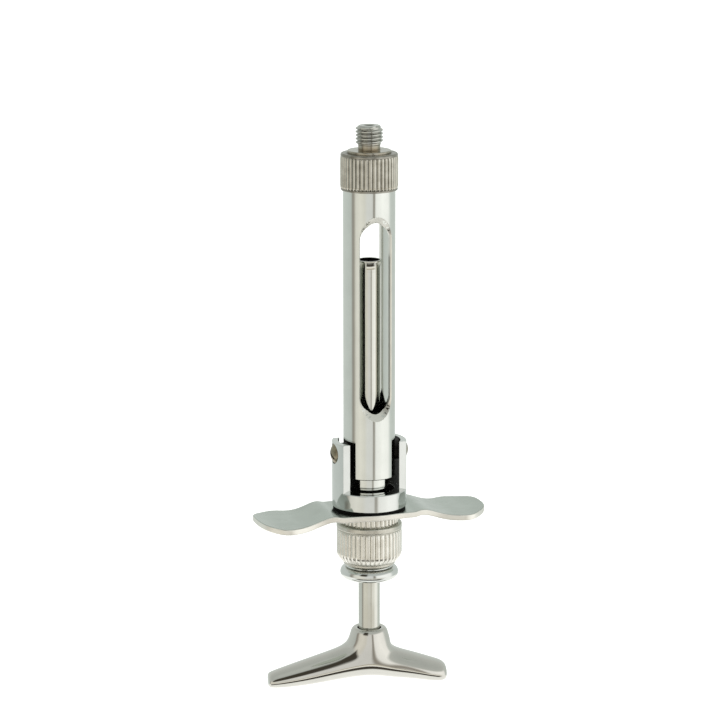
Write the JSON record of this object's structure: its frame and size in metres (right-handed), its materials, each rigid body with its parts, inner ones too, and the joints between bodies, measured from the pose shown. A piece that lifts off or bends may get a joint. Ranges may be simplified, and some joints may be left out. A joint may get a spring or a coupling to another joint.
{
  "type": "aspirating dental syringe",
  "caption": "Chromed metal cartridge syringe with a windowed barrel hinged in a yoke, a finger grip, knurled rings, a spring-loaded pull collar and a sliding piston with a T-handle.",
  "frame": {"origin": "On the syringe's axis, level with the flat undersides of the two finger pads.", "axes": "+Z runs along the axis to the needle end; X runs along the finger grip and through the pivot screws; the barrel's windows face -Y and +Y."},
  "size_m": [0.053, 0.0174, 0.1279],
  "materials": {
    "needle_stud_nickel": "worn nickel plate over brass",
    "satin_nickel": "satin nickel plate, cut knurls",
    "barrel_chrome": "polished",
    "yoke_chrome": "polished",
    "screw_steel": "turned",
    "black_washer": "matt",
    "grip_chrome": "satin polished",
    "spring_steel": "drawn wire",
    "sleeve_chrome": "polished",
    "collar_chrome": "polished",
    "bush_plastic": "white fluoroplastic",
    "rod_chrome": "polished",
    "handle_chrome": "mirror polished"
  },
  "bodies": {
    "frame": {"needle_stud": "needle_stud_nickel", "hub_cap": "satin_nickel", "barrel": "barrel_chrome", "hinge_boss_left": "yoke_chrome", "hinge_boss_right": "yoke_chrome", "pivot_screw_left": "screw_steel", "pivot_screw_right": "screw_steel", "yoke": "yoke_chrome", "grip_washer": "black_washer", "finger_grip": "grip_chrome", "lock_ring": "satin_nickel", "spring_housing": "satin_nickel", "thrust_washer": "spring_steel", "release_spring": "spring_steel"},
    "sleeve": {"centring_sleeve": "sleeve_chrome", "pull_collar": "collar_chrome", "rod_bush": "bush_plastic"},
    "piston": {"piston_rod": "rod_chrome", "piston_head": "rod_chrome"},
    "handle": {"handle": "handle_chrome"}
  },
  "joints": [
    {"name": "sleeve_pull", "type": "slide", "parent": "frame", "child": "sleeve", "axis": [0, 0, -1], "range_m": [0, 0.0036], "stiffness_N_per_m": 500, "springref_m": -0.004, "deforming": ["release_spring"]},
    {"name": "piston_slide", "type": "slide", "parent": "sleeve", "child": "piston", "axis": [0, 0, 1], "range_m": [-0.0488, 0.0115]},
    {"name": "handle_turn", "type": "hinge", "parent": "piston", "child": "handle", "pos_m": [0, 0, -0.03], "axis": [0, 0, 1], "continuous": true}
  ]
}
